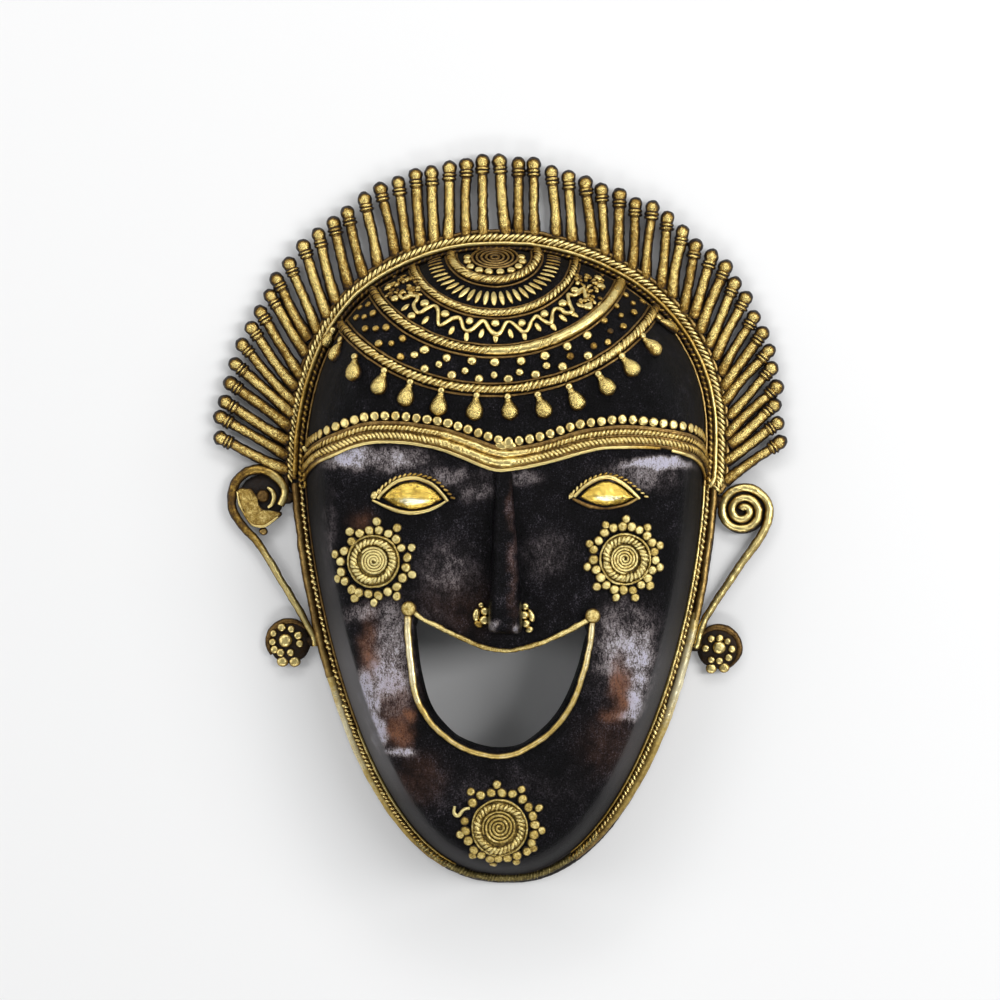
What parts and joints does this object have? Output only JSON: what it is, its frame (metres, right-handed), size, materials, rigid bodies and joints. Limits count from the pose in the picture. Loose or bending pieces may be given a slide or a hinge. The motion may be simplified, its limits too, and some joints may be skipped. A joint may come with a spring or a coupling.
{
  "type": "cast brass wall mask",
  "caption": "Hollow cast brass face mask with a crest of ball-ended rods, rope-wire ornament, an open smiling mouth and scroll ears, made to hang on a wall.",
  "frame": {"origin": "middle of the outline's bounding box, on the plane of the rim's flat back", "axes": "+Y from the chin to the crown, +X to the viewer's right when looking at the face, +Z out of the face"},
  "size_m": [0.2006, 0.2548, 0.0507],
  "materials": {
    "cast_brass": "blackened patina with the raised threads and balls rubbed bright"
  },
  "bodies": {
    "root": {"mask": "cast_brass"}
  },
  "joints": []
}
